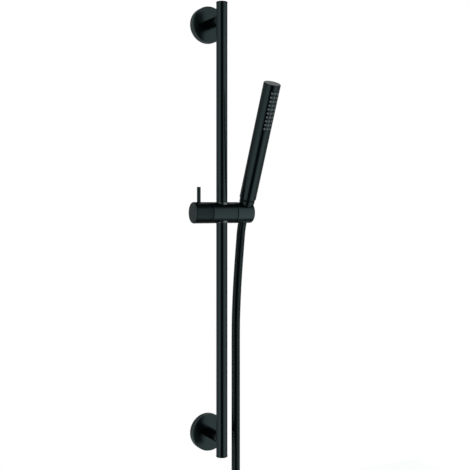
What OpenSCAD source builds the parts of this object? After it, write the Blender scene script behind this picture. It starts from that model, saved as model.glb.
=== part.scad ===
// Shower slide rail: a round rail on two wall brackets, a clamping slider that swivels,
// a tilting holder with a stick handset in it, and its hose.
// X runs along the wall, Y runs into the wall, Z is up. The wall is the plane Y = 0, and
// the origin is midway between the two wall screws. Lengths are in millimetres.

/* [Rail] */
// Outside diameter of the rail tube
rail_d = 18; // [16:0.5:24]
// Wall of the rail tube
rail_wall = 1.2; // [0.8:0.1:2]
// Length of the rail over both end caps
rail_len = 730; // [640:5:1100]
// Thickness of an end cap's lip
cap_lip_t = 2; // [1:0.5:4]
// How far an end cap's lip stands proud of the tube
cap_proud = 0.3; // [0:0.1:1]
// Length of an end cap's plug inside the tube
cap_plug_len = 9; // [5:1:12]
// Length of the threaded insert past the bracket screw, towards the middle of the rail
insert_past = 13; // [8:1:30]

/* [Brackets] */
// Distance from an end of the rail to the middle of its bracket
bracket_inset = 28; // [24:1:60]
// Distance from the wall to the rail's axis
stand_off = 57.5; // [48:0.5:80]
// Diameter of a wall flange
flange_d = 60; // [50:0.2:80]
// Depth of a wall flange and its gasket, from the wall to its front face
flange_t = 12.6; // [10:0.2:18]
// Wall of the hollow flange
flange_wall = 1.6; // [1:0.1:3]
// Thickness of the foam gasket behind a flange
gasket_t = 0.8; // [0.5:0.1:2]
// Diameter of a post
post_d = 17; // [15:0.5:22]
// Wall of the post round its boss
post_wall = 2; // [1.5:0.1:3]
// Solid length of the post behind the rail
post_web = 14; // [8:1:18]
// Radius of the disc of a wall boss
boss_disc_r = 18; // [13:0.5:22]
// Thickness of the disc of a wall boss
boss_disc_t = 3; // [2:0.5:5]
// Length of a wall boss from the wall to its front
boss_len = 24; // [20:0.5:28]
// Diameter of the hole for the wall screw
wall_hole_d = 5.2; // [4:0.1:6.5]
// Diameter of the recess for the wall screw's head
wall_head_d = 9.6; // [8:0.1:10]
// Thickness of the boss under the wall screw's head
wall_head_seat = 6; // [3.5:0.5:12]
// Diameter of the screw that draws a post to the rail
post_screw_d = 6; // [5:0.5:8]
// Diameter of a grub screw
grub_d = 5; // [3:0.5:6]

/* [Slider] */
// Height of the slider above the middle of the rail
slider_z = 26.7; // [-200:0.1:200]
// Diameter of the slider, its knob and its holder
slider_d = 34; // [30:0.5:44]
// Length of the slider's middle body along the wall
body_len = 42.3; // [41.5:0.1:56]
// Width of the seam at each side of the middle body
seam = 1.4; // [0.5:0.1:1.6]
// Depth that the seam washers lie below the surface
seam_depth = 1.8; // [0.5:0.1:2.5]
// Wall of the plastic bushes round the rail
bush_wall = 2.2; // [0.8:0.1:2.4]
// Depth of the bushes' ends below the slider's topmost and lowest lines
bush_inset = 0.5; // [0.3:0.1:4]
// Bevel round the rail hole of the body
hole_bevel = 0.6; // [0.3:0.1:2.4]
// Rounding of the slider's two outer edges
edge_round = 1.4; // [0.4:0.1:2]

/* [Clamp] */
// Length of the clamp knob
knob_len = 28.7; // [26:0.1:40]
// Length of the trim band at the knob's inner end
knob_band = 7.6; // [4:0.1:10]
// Depth of the knob's journal below the slider's surface
journal_inset = 6; // [5:0.5:8]
// Length of the knob's journal
journal_len = 5.5; // [5:0.1:6]
// Width and depth of the snap ring that holds the knob
snap_w = 1.2; // [0.8:0.1:1.6]
// Diameter of the lever pin
lever_d = 6; // [4:0.5:8]
// Length of the lever pin above the knob
lever_reach = 23.9; // [12:0.1:40]
// Distance of the lever pin from the knob's outer end
lever_inset = 10.5; // [8:0.5:14]
// Depth of the lever pin in the knob
lever_depth = 8; // [4:0.5:9]
// Diameter of the plunger that the knob drives
plunger_d = 8; // [6:0.5:8.5]
// Flat along the plunger that stops it turning, measured in from its side
plunger_flat = 0.8; // [0.4:0.1:1.2]
// Length of the plunger
plunger_len = 24; // [18:0.5:25]
// Length of the plastic brake pad at its middle
pad_len = 4; // [2.5:0.1:4.5]
// Gap between the clamped pad and the rail
pad_gap = 0.1; // [0.05:0.05:0.3]

/* [Holder] */
// Length of the holder
holder_len = 29.6; // [28.5:0.1:40]
// Distance of the seat's axis from the rail's axis
seat_x = 41.4; // [39.5:0.1:42]
// Tilt of the seat and the handset from upright
rest_tilt = 24.4; // [0:0.1:40]
// Depth of the holder's pivot below the slider's surface
pivot_inset = 7; // [5:0.5:8]
// Length of the holder's pivot
pivot_len = 4; // [3:0.1:4.5]
// Diameter of the pivot screw
pivot_screw_d = 6; // [4:0.5:6]
// Radius of the pivot screw's head
pivot_head_r = 5; // [4.5:0.1:5.5]
// Thickness of the pivot screw's head
pivot_head_t = 3.2; // [2.5:0.1:3.5]
// Thickness of the wave washer under that head
wave_t = 0.8; // [0.5:0.1:1]
// Length of the pivot screw inside the holder, from the seam
pivot_screw_in = 5; // [3:0.5:6]

/* [Cone nut] */
// Radius of the cone at its small end
cone_r = 8; // [7.9:0.05:8.4]
// Radius of the cone where it meets the collar
cone_top_r = 9.9; // [9.7:0.05:10.1]
// Length of the cone below the seat's centre
cone_below = 13; // [11:0.5:15]
// Radius of the nut's collar
collar_r = 11.3; // [10.9:0.05:11.6]
// Radius of the collar's shoulder, seen below the handset
shoulder_r = 12.3; // [11.7:0.1:13]
// Height of the dark gap between the shoulder and the handset's rim
rim_gap = 1.9; // [1:0.1:2.5]
// Gap between the top of the holder and the collar
collar_gap = 0.5; // [0.3:0.1:1.5]
// Height of the collar that the handset's skirt covers
collar_covered = 12; // [10:0.5:16]
// Gap between the cone and its seat
seat_gap = 0.12; // [0.05:0.01:0.3]

/* [Handset] */
// Diameter of the handset
handset_d = 27; // [26:0.1:32]
// Wall of the handset's tube
handset_wall = 1.5; // [1:0.05:1.5]
// Length of the handset
handset_len = 193; // [150:0.1:240]
// Distance of the handset's lower rim from the seat's centre
handset_from = 25.6; // [23:0.1:30]
// Thickness of the top cap
top_cap_t = 2; // [1:0.5:4]
// Length of the top cap's plug
top_plug_len = 6; // [4:0.5:7]
// Length of the connector's plug in the tube
connector_len = 16; // [12:1:30]
// Wall of the inner water tube
core_wall = 1.4; // [1:0.1:2]

/* [Spray] */
// Rows of nozzles
nozzle_rows = 10; // [4:1:14]
// Columns of nozzles
nozzle_columns = 3; // [1:1:3]
// Distance between rows
row_pitch = 6.35; // [5:0.05:8]
// Angle between columns
column_pitch = 21; // [18:1:26]
// Angle of the middle column from straight ahead
spray_turn = 4; // [-10:1:10]
// Distance of the first row from the top of the handset
first_row = 12.9; // [11:0.1:20]
// Diameter of a nozzle
nozzle_d = 2.6; // [1.6:0.1:3]
// Height of a nozzle above the sunk strip
nozzle_proud = 0.5; // [0.2:0.1:1.2]
// Depth of the sunk strip round the nozzles
strip_depth = 0.3; // [0.1:0.1:0.6]
// Thickness of the silicone behind the nozzles
silicone_t = 1.3; // [0.8:0.1:2]

/* [Hose] */
// Outside diameter of the hose
hose_d = 14; // [12:0.2:14]
// Pitch diameter of the pipe threads at both ends of the hose
thread_d = 19.8; // [19.4:0.1:20.2]
// Bore of the fittings on the hose
fitting_bore = 9; // [6:0.5:10]
// Radius of the nut on the free end
end_nut_r = 11.5; // [11.3:0.1:11.8]
// Length of the nut on the free end
end_nut_len = 17; // [14:0.5:24]

/* [Fits] */
// Radial clearance of running fits
run_gap = 0.05; // [0.02:0.01:0.08]
// Radial clearance of loose fits
loose_gap = 0.1; // [0.08:0.01:0.2]

/* [Hidden] */

$fn = 96;
// Rail and its ends
rail_r = rail_d / 2;
rail_in_r = rail_r - rail_wall;
end_z = rail_len / 2;
tube_z = end_z - cap_lip_t;
bracket_z = end_z - bracket_inset;
plug_end_z = tube_z - cap_plug_len;
plug_r = rail_in_r - run_gap;
screw_r = post_screw_d / 2;
screw_end = 4;
thread_gap = 0.05;

// Brackets, measured outwards from the wall
post_r = post_d / 2;
post_bore_r = post_r - post_wall;
boss_r = post_bore_r - loose_gap;
saddle_from_axis = rail_r + run_gap;
web_from = stand_off - rail_r - post_web;
screw_head_t = 5;
screw_head_r = post_bore_r - 1.2;
key_r = 2.5;
flange_r = flange_d / 2;
grub_r = grub_d / 2;
grub_from = (flange_t + boss_len) / 2;
grub_seat = 1.2;
rim_bevel = 0.3;

// Slider, measured along X from the rail's axis
slider_r = slider_d / 2;
body_end = body_len / 2;
seam_end = body_end + seam;
bush_in_r = rail_r + run_gap;
bush_out_r = bush_in_r + bush_wall;
bore_r = bush_out_r + run_gap;
bush_from = max(plunger_d / 2, pivot_head_r) + 1;
bush_to = slider_r - bush_inset;
washer_r = slider_r - seam_depth;
band_in_r = slider_r - 2.6;
plunger_r = plunger_d / 2;
pad_face_r = rail_r + pad_gap;
pad_end = pad_face_r + pad_len;
plunger_end = pad_end + plunger_len;
journal_r = slider_r - journal_inset;
journal_in = seam_end - journal_len;
journal_pocket = journal_in - 0.4;
knob_end = seam_end + knob_len;
knob_bore_end = plunger_end + 2.5;
snap_mid = body_end - 2.4;
snap_in_r = journal_r - 0.8;
snap_out_r = snap_in_r + snap_w + 0.5;
lever_x = knob_end - lever_inset;
pivot_r = slider_r - pivot_inset;
pivot_in = seam_end - pivot_len;
pivot_pocket = pivot_in - 0.3;
head_from = bore_r + 0.4;
wave_from = head_from + pivot_head_t;
wave_to = wave_from + wave_t;
holder_end = seam_end + holder_len;

// Seat, nut and handset, measured upwards along the seat's axis from its centre
cone_to = slider_r;
cone_slope = (cone_top_r - cone_r) / (cone_to + cone_below);
collar_from = slider_r + collar_gap;
collar_to = handset_from + collar_covered;
shoulder_to = handset_from - rim_gap;
thread_r = thread_d / 2;
nut_floor = collar_from + 3;
nut_bore_r = cone_r - 0.25;
nut_lip_r = hose_d / 2 + 0.2;
nut_lip_to = -cone_below + 8;
nipple_r = nut_bore_r - 0.15;
hose_from = nut_lip_to + 1;
nipple_t = 1.5;
washer_t = 2;
nipple_to = nut_floor + 0.1 + nipple_t;
thread_from = nipple_to + washer_t + 0.1;
bore_half = fitting_bore / 2;
handset_r = handset_d / 2;
handset_in_r = handset_r - handset_wall;
handset_to = handset_from + handset_len;
tube_to = handset_to - top_cap_t;
connector_from = collar_to + 1;
connector_to = connector_from + connector_len;
connector_r = handset_in_r - loose_gap;
top_plug_from = tube_to - top_plug_len;
silicone_r = handset_in_r - loose_gap;
core_r = silicone_r - silicone_t - 0.15;
core_in_r = core_r - core_wall;
core_step = 4;
limiter_t = 2.5;
seal_w = 1.6;
strip_margin = 4.6;
strip_top = handset_to - first_row + strip_margin;
strip_len = (nozzle_rows - 1) * row_pitch + 2 * strip_margin;
strip_angle = (nozzle_columns - 1) * column_pitch + 26;
nozzle_r = nozzle_d / 2;
jet_r = 0.4;

// Hose route, measured from the seat's centre: out of the nut, back towards the wall, down.
// The upper piece tilts with the holder, so the split is a cylinder round the slider's axis.
hose_r = hose_d / 2;
seat_out = [0, sin(rest_tilt), -cos(rest_tilt)];
hose_split_r = 62;
hose_split_gap = 0.3;
upper_route = [[0, 12, -30], [0, 17, -60], [0, 21.6, -90]];
drop_route = [
    [0, 14, -42], [0, 17, -60], [0, 21.6, -90], [0, 25.6, -120], [0, 28.6, -150],
    [0, 30.6, -180], [0, 31.2, -210], [0, 31.2, -245], [0, 31.2, -285], [0, 31.2, -325],
    [0, 31.2, -365], [0, 31.2, -405], [0, 31.2, -456]
];
// Hank: one whole turn and half of another beside it, folded over long straight runs
fold_r = 42;
hank_y = -10.8;
hank_top_z = -492;
hank_run = 230;
hank_bottom_z = hank_top_z - hank_run;
hank_pitch = 14;
hank_start_z = -456;
tail_route = [
    [hank_pitch, hank_y + fold_r, hank_bottom_z], [hank_pitch, hank_y + fold_r, -740],
    [hank_pitch, hank_y + fold_r, -758], [hank_pitch, hank_y + fold_r, -775]
];
tie_w = 8;
tie_t = 1;
tie_gap = 0.2;
upper_tie_z = -545;
lower_tie_z = -690;
end_neck_r = 6;
end_shaft_len = 13;
end_nut_from = end_shaft_len + 0.5;
end_nut_floor = 5.5;
end_flange_from = end_nut_from + end_nut_floor + 0.1;
hose_sides = 12;

rail_black = [0.07, 0.075, 0.078];
inner_brass = [0.72, 0.58, 0.33];
inner_steel = [0.62, 0.63, 0.64];
inner_plastic = [0.16, 0.16, 0.17];
silicone_grey = [0.62, 0.64, 0.65];
rubber_black = [0.05, 0.05, 0.055];

// Places its children at a bracket, with their Z running out from the wall
module out_from_wall(side) {
    translate([0, 0, side * bracket_z]) rotate([90, 0, 0]) children();
}

// Places its children on the slider's axis, where it crosses the rail
module at_slider() {
    translate([0, -stand_off, slider_z]) children();
}

// Places its children on the slider's axis, with their Z running along X from x
module along_x(x) {
    at_slider() translate([x, 0, 0]) rotate([0, 90, 0]) children();
}

// Places its children at the seat's centre, with their Z up along its axis
module at_seat() {
    at_slider() translate([seat_x, 0, 0]) rotate([rest_tilt, 0, 0]) children();
}

module at_hose() {
    at_slider() translate([seat_x, 0, 0]) children();
}

// A round bar with bevelled ends
module bevelled(r, len, bevel_low, bevel_high) {
    rotate_extrude()
        polygon([
            [0, 0], [r - bevel_low, 0], [r, bevel_low],
            [r, len - bevel_high], [r - bevel_high, len], [0, len]
        ]);
}

// A round bar whose low end has a rounded edge
module rounded(r, len, round_low, bevel_high) {
    edge = [
        for (a = [0 : 15 : 90])
            [r - round_low + round_low * sin(a), round_low - round_low * cos(a)]
    ];
    top = [[r, len - bevel_high], [r - bevel_high, len], [0, len]];
    rotate_extrude() polygon(concat([[0, 0]], edge, top));
}

module ring(r_out, r_in, t) {
    difference() {
        cylinder(r = r_out, h = t);
        translate([0, 0, -1]) cylinder(r = r_in, h = t + 2);
    }
}

module rail_tube() {
    color(rail_black)
    translate([0, -stand_off, 0])
    difference() {
        translate([0, 0, -tube_z]) ring(rail_r, rail_in_r, 2 * tube_z);
        for (side = [-1, 1])
            translate([0, 0, side * bracket_z]) rotate([-90, 0, 0])
                cylinder(r = screw_r + loose_gap, h = rail_r + 1);
    }
}

module end_cap(side) {
    color(rail_black)
    translate([0, -stand_off, side * tube_z]) rotate([side > 0 ? 0 : 180, 0, 0]) {
        bevelled(rail_r + cap_proud, cap_lip_t, 0.2, 0.6);
        translate([0, 0, -cap_plug_len]) bevelled(plug_r, cap_plug_len + 0.5, 0.6, 0);
    }
}
module upper_end_cap() { end_cap(1); }
module lower_end_cap() { end_cap(-1); }

module rail_insert(side) {
    insert_len = plug_end_z - bracket_z + insert_past;
    color(inner_brass)
    translate([0, -stand_off, 0])
    difference() {
        rotate([side > 0 ? 0 : 180, 0, 0]) translate([0, 0, bracket_z - insert_past])
            bevelled(plug_r, insert_len - 0.3, 0.5, 0.5);
        translate([0, -screw_end - 1, side * bracket_z]) rotate([-90, 0, 0])
            cylinder(r = screw_r + thread_gap, h = rail_r + screw_end + 1);
    }
}
module upper_rail_insert() { rail_insert(1); }
module lower_rail_insert() { rail_insert(-1); }

// A post: hollow at the wall for its boss, and hollowed at the front to fit the rail
module post(side) {
    color(rail_black)
    difference() {
        out_from_wall(side) translate([0, 0, boss_disc_t + 0.1])
            cylinder(r = post_r, h = stand_off - boss_disc_t - 0.1);
        out_from_wall(side) translate([0, 0, -1]) cylinder(r = post_bore_r, h = web_from + 1);
        out_from_wall(side) cylinder(r = screw_r + loose_gap, h = stand_off);
        translate([0, -stand_off, side * bracket_z - post_d])
            cylinder(r = saddle_from_axis, h = 2 * post_d);
        out_from_wall(side) translate([0, 0, grub_from]) rotate([90, 0, 0])
            cylinder(r = grub_r + thread_gap, h = post_r + 1);
    }
}
module upper_post() { post(1); }
module lower_post() { post(-1); }

// The screw from inside a post into the rail's insert
module post_screw(side) {
    color(inner_steel)
    out_from_wall(side)
    difference() {
        union() {
            translate([0, 0, web_from - screw_head_t - 0.1])
                bevelled(screw_head_r, screw_head_t, 0.4, 0);
            translate([0, 0, web_from - 0.6])
                cylinder(r = screw_r, h = stand_off + screw_end - web_from + 0.6);
        }
        translate([0, 0, web_from - screw_head_t - 1]) cylinder(r = key_r, h = 4, $fn = 6);
    }
}
module upper_post_screw() { post_screw(1); }
module lower_post_screw() { post_screw(-1); }

// A hollow flange that slides over its post and hides the boss
module wall_flange(side) {
    depth = flange_t - gasket_t;
    color(rail_black)
    out_from_wall(side) translate([0, 0, gasket_t])
    difference() {
        bevelled(flange_r, depth, 0.3, rim_bevel);
        translate([0, 0, -1]) cylinder(r = flange_r - flange_wall, h = depth - flange_wall + 1);
        cylinder(r = post_r + loose_gap, h = depth + 1);
    }
}
module upper_wall_flange() { wall_flange(1); }
module lower_wall_flange() { wall_flange(-1); }

module gasket(side) {
    color(rubber_black)
    out_from_wall(side) ring(flange_r - 0.1, flange_r - flange_wall - 1.5, gasket_t);
}
module upper_gasket() { gasket(1); }
module lower_gasket() { gasket(-1); }

// The boss that is screwed to the wall, with a groove for the grub screw
module wall_boss(side) {
    color(inner_brass)
    out_from_wall(side)
    difference() {
        union() {
            cylinder(r = boss_disc_r, h = boss_disc_t);
            bevelled(boss_r, boss_len, 0, 0.8);
        }
        translate([0, 0, -1]) cylinder(r = wall_hole_d / 2, h = boss_len + 2);
        translate([0, 0, wall_head_seat]) cylinder(r = wall_head_d / 2, h = boss_len);
        translate([0, 0, grub_from - grub_r - 0.2])
            ring(boss_r + 1, boss_r - grub_seat / 2, grub_d + 0.4);
    }
}
module upper_wall_boss() { wall_boss(1); }
module lower_wall_boss() { wall_boss(-1); }

module grub_screw(side) {
    seat = boss_r - grub_seat / 2 + 0.05;
    color(inner_steel)
    out_from_wall(side) translate([0, -seat, grub_from]) rotate([90, 0, 0])
    difference() {
        cylinder(r = grub_r, h = post_r - seat - 0.3);
        translate([0, 0, 0.8]) cylinder(r = grub_r * 0.5, h = post_r, $fn = 6);
    }
}
module upper_grub_screw() { grub_screw(1); }
module lower_grub_screw() { grub_screw(-1); }

// A plastic bush between the slider and the rail
module guide_bush(side) {
    color(inner_plastic)
    at_slider() rotate([side > 0 ? 0 : 180, 0, 0]) translate([0, 0, bush_from])
        difference() {
            bevelled(bush_out_r, bush_to - bush_from, 0, 0.3);
            translate([0, 0, -1]) cylinder(r = bush_in_r, h = bush_to);
        }
}
module upper_guide_bush() { guide_bush(1); }
module lower_guide_bush() { guide_bush(-1); }

// A round bar with a flat along it, for the plunger and its guide
module flatted(r, flat_at, len) {
    difference() {
        cylinder(r = r, h = len);
        translate([-r - 1, flat_at, -1]) cube([2 * r + 2, 2 * r, len + 2]);
    }
}

module slider_body() {
    color(rail_black)
    difference() {
        along_x(-body_end) bevelled(slider_r, body_len, 0.25, 0.25);
        // Rail hole, bevelled where it breaks out above and below
        at_slider() translate([0, 0, -slider_r - 1]) cylinder(r = bore_r, h = slider_d + 2);
        for (turn = [0, 180])
            at_slider() rotate([turn, 0, 0]) translate([0, 0, slider_r - hole_bevel])
                rotate_extrude()
                    polygon([
                        [0, 0], [bore_r, 0], [bore_r + 2 * hole_bevel, 2 * hole_bevel],
                        [0, 2 * hole_bevel]
                    ]);
        // Clamp side
        along_x(-body_end - 1) cylinder(r = journal_r + run_gap, h = body_end - journal_pocket + 1);
        along_x(-snap_mid - snap_w / 2 - loose_gap)
            cylinder(r = snap_out_r + loose_gap, h = snap_w + 2 * loose_gap);
        along_x(-body_end) flatted(plunger_r + run_gap, plunger_r - plunger_flat + run_gap, body_end);
        // Holder side
        along_x(pivot_pocket) cylinder(r = pivot_r + run_gap, h = body_end);
        along_x(0) cylinder(r = pivot_head_r + 2 * loose_gap, h = wave_to);
        along_x(0) cylinder(r = pivot_screw_d / 2 + loose_gap, h = body_end);
    }
}

// The split ring in matching grooves of the knob's journal and the body
module knob_snap_ring() {
    color(inner_steel)
    along_x(-snap_mid - snap_w / 2)
    difference() {
        ring(snap_out_r, snap_in_r + loose_gap, snap_w);
        translate([0, -snap_w, -1]) cube([snap_out_r + 1, 2 * snap_w, snap_w + 2]);
    }
}

module knob_washer() {
    color(rubber_black)
    along_x(-seam_end + 0.02) ring(washer_r, journal_r + loose_gap, seam - 0.04);
}

module holder_washer() {
    color(rubber_black)
    along_x(body_end + 0.02) ring(washer_r, pivot_r + loose_gap, seam - 0.04);
}

module clamp_knob() {
    color(rail_black)
    difference() {
        union() {
            along_x(-knob_end) rounded(slider_r, knob_len, edge_round, 0.25);
            along_x(-seam_end - 1) cylinder(r = journal_r, h = seam_end - journal_in + 1);
        }
        along_x(-knob_bore_end) cylinder(r = plunger_r + run_gap, h = knob_bore_end);
        along_x(-snap_mid - snap_w / 2 - loose_gap)
            ring(journal_r + 1, snap_in_r, snap_w + 2 * loose_gap);
        at_slider() translate([-lever_x, 0, slider_r - lever_depth])
            cylinder(r = lever_d / 2 + thread_gap, h = lever_depth + 1);
        along_x(-seam_end - knob_band) ring(slider_r + 1, band_in_r, knob_band + 1);
    }
}

// The trim band pressed on the knob's inner end, with a fine groove round its middle
module knob_collar() {
    color(rail_black)
    along_x(-seam_end - knob_band + 0.3)
    difference() {
        bevelled(slider_r, knob_band - 0.3, 0.25, 0.25);
        translate([0, 0, -1]) cylinder(r = band_in_r + 0.02, h = knob_band + 2);
        translate([0, 0, knob_band / 2 - 0.3]) ring(slider_r + 1, slider_r - 0.4, 0.6);
    }
}

module lever_pin() {
    color(rail_black)
    at_slider() translate([-lever_x, 0, slider_r - lever_depth + 0.1])
        bevelled(lever_d / 2, lever_depth + lever_reach - 0.1, 0.3, 0.3);
}

module brake_plunger() {
    color(inner_steel)
    along_x(-plunger_end) flatted(plunger_r, plunger_r - plunger_flat, plunger_len);
}

module brake_pad() {
    color(inner_plastic)
    difference() {
        along_x(-pad_end)
            flatted(plunger_r - run_gap, plunger_r - plunger_flat - run_gap, pad_end);
        at_slider() translate([0, 0, -plunger_d]) cylinder(r = pad_face_r, h = 2 * plunger_d);
    }
}

module holder() {
    color(rail_black)
    difference() {
        union() {
            along_x(holder_end) rotate([180, 0, 0])
                rounded(slider_r, holder_len, edge_round, 0.25);
            along_x(pivot_in) cylinder(r = pivot_r, h = pivot_len + 1);
        }
        along_x(0) cylinder(r = pivot_screw_d / 2 + thread_gap, h = seam_end + pivot_screw_in + 0.5);
        // Conical seat, opened out below for the hose
        at_seat() translate([0, 0, -cone_below])
            cylinder(
                r1 = cone_r + seat_gap,
                r2 = cone_r + seat_gap + cone_slope * (cone_below + slider_d),
                h = cone_below + slider_d
            );
        at_seat() translate([0, 0, -slider_d]) cylinder(r = cone_r + 0.6, h = slider_d - cone_below + 0.2);
    }
}

module pivot_screw() {
    color(inner_steel)
    along_x(head_from)
    difference() {
        union() {
            cylinder(r = pivot_head_r, h = pivot_head_t);
            cylinder(r = pivot_screw_d / 2, h = seam_end + pivot_screw_in - head_from);
        }
        translate([0, 0, -1]) cylinder(r = pivot_screw_d * 0.4, h = 3, $fn = 6);
    }
}

module wave_washer() {
    color(inner_steel)
    along_x(wave_from + 0.02)
        ring(pivot_head_r, pivot_screw_d / 2 + loose_gap, wave_t - 0.04);
}

// The nut between the hose and the handset: a cone that seats in the holder, and a collar
module cone_nut() {
    color(rail_black)
    at_seat()
    difference() {
        rotate_extrude()
            polygon([
                [nut_lip_r, -cone_below], [cone_r - 0.4, -cone_below], [cone_r, -cone_below + 0.4],
                [cone_top_r, cone_to], [cone_top_r, collar_from],
                [shoulder_r - 0.5, collar_from], [shoulder_r, collar_from + 0.5],
                [shoulder_r, shoulder_to - 0.4], [shoulder_r - 0.4, shoulder_to],
                [collar_r, shoulder_to], [collar_r, collar_to - 0.4],
                [collar_r - 0.4, collar_to], [nut_lip_r, collar_to]
            ]);
        translate([0, 0, nut_lip_to]) cylinder(r = nut_bore_r, h = collar_to);
        translate([0, 0, nut_floor]) cylinder(r = thread_r, h = collar_to);
    }
}

// The seal in the gap between the collar's shoulder and the handset's rim
module rim_seal() {
    color(rubber_black)
    at_seat() translate([0, 0, shoulder_to + 0.02])
        ring(shoulder_r - 0.4, collar_r + 0.05, rim_gap - 0.04);
}

module hose_nipple() {
    color(inner_brass)
    at_seat()
    difference() {
        union() {
            translate([0, 0, hose_from]) cylinder(r = nipple_r, h = nut_floor - hose_from + 0.3);
            translate([0, 0, nut_floor + 0.1]) cylinder(r = thread_r - 0.3, h = nipple_t);
        }
        translate([0, 0, hose_from - 1]) cylinder(r = bore_half, h = nut_floor + slider_d);
    }
}

module hose_washer() {
    color(rubber_black)
    at_seat() translate([0, 0, nipple_to + 0.05]) ring(thread_r - 0.2, bore_half + 1, washer_t);
}

// The bottom of the handset: a threaded spigot inside the skirt, and a sealed plug above it
module handset_connector() {
    seal_from = connector_from + connector_len / 3;
    color(inner_brass)
    at_seat()
    difference() {
        union() {
            translate([0, 0, thread_from])
                bevelled(thread_r - thread_gap, connector_from - thread_from + 1, 0.5, 0);
            translate([0, 0, connector_from]) cylinder(r = connector_r, h = connector_len);
        }
        translate([0, 0, thread_from - 1]) cylinder(r = bore_half, h = handset_len);
        translate([0, 0, connector_to - core_step - limiter_t])
            cylinder(r = bore_half + 1, h = handset_len);
        translate([0, 0, connector_to - core_step]) cylinder(r = core_r + run_gap, h = handset_len);
        translate([0, 0, seal_from]) ring(handset_r, connector_r - seal_w, seal_w + 0.2);
    }
}

module connector_seal() {
    seal_from = connector_from + connector_len / 3;
    color(rubber_black)
    at_seat() translate([0, 0, seal_from + 0.1 + seal_w / 2])
    rotate_extrude() translate([handset_in_r - 0.05 - seal_w / 2, 0]) circle(d = seal_w, $fn = 32);
}

module flow_limiter() {
    color(silicone_grey)
    at_seat() translate([0, 0, connector_to - core_step - limiter_t + 0.05])
        ring(bore_half + 1 - run_gap, 1.5, limiter_t - 0.1);
}

// Places its children once for each nozzle, with their Z running straight out
module at_nozzles() {
    for (row = [0 : nozzle_rows - 1], column = [0 : nozzle_columns - 1])
        translate([0, 0, handset_to - first_row - row * row_pitch])
            rotate([90, 0, spray_turn + (column - (nozzle_columns - 1) / 2) * column_pitch])
                children();
}

// A curved plate centred on the spray's direction
module spray_band(r_out, r_in, angle, top, len) {
    translate([0, 0, top - len]) rotate([0, 0, spray_turn - 90 - angle / 2])
        rotate_extrude(angle = angle) translate([r_in, 0]) square([r_out - r_in, len]);
}

module handset_tube() {
    color(rail_black)
    at_seat()
    difference() {
        translate([0, 0, handset_from]) bevelled(handset_r, tube_to - handset_from, 0.6, 0);
        translate([0, 0, handset_from - 1]) cylinder(r = handset_in_r, h = handset_len + 2);
        spray_band(handset_r + 1, handset_r - strip_depth, strip_angle, strip_top, strip_len);
        at_nozzles() cylinder(r = nozzle_r + loose_gap, h = handset_r + 1, $fn = 32);
    }
}

module top_cap() {
    color(rail_black)
    at_seat() {
        translate([0, 0, tube_to]) bevelled(handset_r, top_cap_t, 0.1, 0.6);
        translate([0, 0, top_plug_from])
            bevelled(handset_in_r - run_gap, top_plug_len + 0.5, 0.5, 0);
    }
}

// The silicone moulding whose nozzles reach out through the tube
module spray_insert() {
    color(silicone_grey)
    at_seat()
    difference() {
        union() {
            spray_band(silicone_r, silicone_r - silicone_t, strip_angle, top_plug_from - 0.2,
                strip_len - (strip_top - top_plug_from));
            at_nozzles() translate([0, 0, silicone_r - silicone_t / 2])
                cylinder(
                    r = nozzle_r,
                    h = handset_r - strip_depth + nozzle_proud - silicone_r + silicone_t / 2,
                    $fn = 32
                );
        }
        at_nozzles() cylinder(r = jet_r, h = handset_r + 2, $fn = 16);
    }
}

// The inner tube that carries water up to the nozzles, open towards them
module water_tube() {
    window = strip_angle - 10;
    color(inner_plastic)
    at_seat()
    difference() {
        translate([0, 0, connector_to - core_step + 0.1])
            ring(core_r, core_in_r, top_plug_from - connector_to + core_step - 0.2);
        spray_band(core_r + 1, core_in_r - 1, window, top_plug_from - 3,
            strip_len - 2 * strip_margin);
    }
}

// Rings and faces of a tube swept along points
function unit(v) = v / norm(v);
function heading(p, i) =
    unit((i < len(p) - 1 ? unit(p[i + 1] - p[i]) : [0, 0, 0])
        + (i > 0 ? unit(p[i] - p[i - 1]) : [0, 0, 0]));
function sweep_ring(p, i, r) =
    let (t = heading(p, i), a = unit(cross([1, 0, 0], t)), b = cross(t, a))
    [for (k = [0 : hose_sides - 1])
        p[i] + r * (cos(360 * k / hose_sides) * a + sin(360 * k / hose_sides) * b)];
module sweep_tube(p, r) {
    n = hose_sides;
    last = (len(p) - 1) * n;
    points = [for (i = [0 : len(p) - 1]) each sweep_ring(p, i, r)];
    walls = [
        for (i = [0 : len(p) - 2], k = [0 : n - 1])
            let (a = i * n + k, b = i * n + (k + 1) % n)
            each [[a, a + n, b + n], [a, b + n, b]]
    ];
    ends = [[for (k = [0 : n - 1]) k], [for (k = [0 : n - 1]) last + n - 1 - k]];
    polyhedron(points = points, faces = concat(walls, ends), convexity = 6);
}

module hose_upper() {
    start = [seat_out * -hose_from, seat_out * cone_below, seat_out * (slider_r + 1)];
    color(rubber_black)
    intersection() {
        at_hose() sweep_tube(concat(start, upper_route), hose_r);
        along_x(seat_x - hose_d) cylinder(r = hose_split_r, h = 2 * hose_d);
    }
}

module hose_drop() {
    color(rubber_black)
    difference() {
        at_hose() sweep_tube(drop_route, hose_r);
        along_x(seat_x - hose_d) cylinder(r = hose_split_r + hose_split_gap, h = 2 * hose_d);
    }
}

module hose_tail() {
    color(rubber_black)
    at_hose() sweep_tube(tail_route, hose_r);
}

// The outline of one turn of the hank, in the plane of the hose's fall
module turn_outline() {
    difference() {
        union() {
            for (z = [hank_top_z, hank_bottom_z]) translate([hank_y, z]) circle(r = fold_r + hose_r);
            translate([hank_y - fold_r - hose_r, hank_bottom_z])
                square([2 * (fold_r + hose_r), hank_run]);
        }
        for (z = [hank_top_z, hank_bottom_z]) translate([hank_y, z]) circle(r = fold_r - hose_r);
        translate([hank_y - fold_r + hose_r, hank_bottom_z]) square([2 * (fold_r - hose_r), hank_run]);
    }
}

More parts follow.
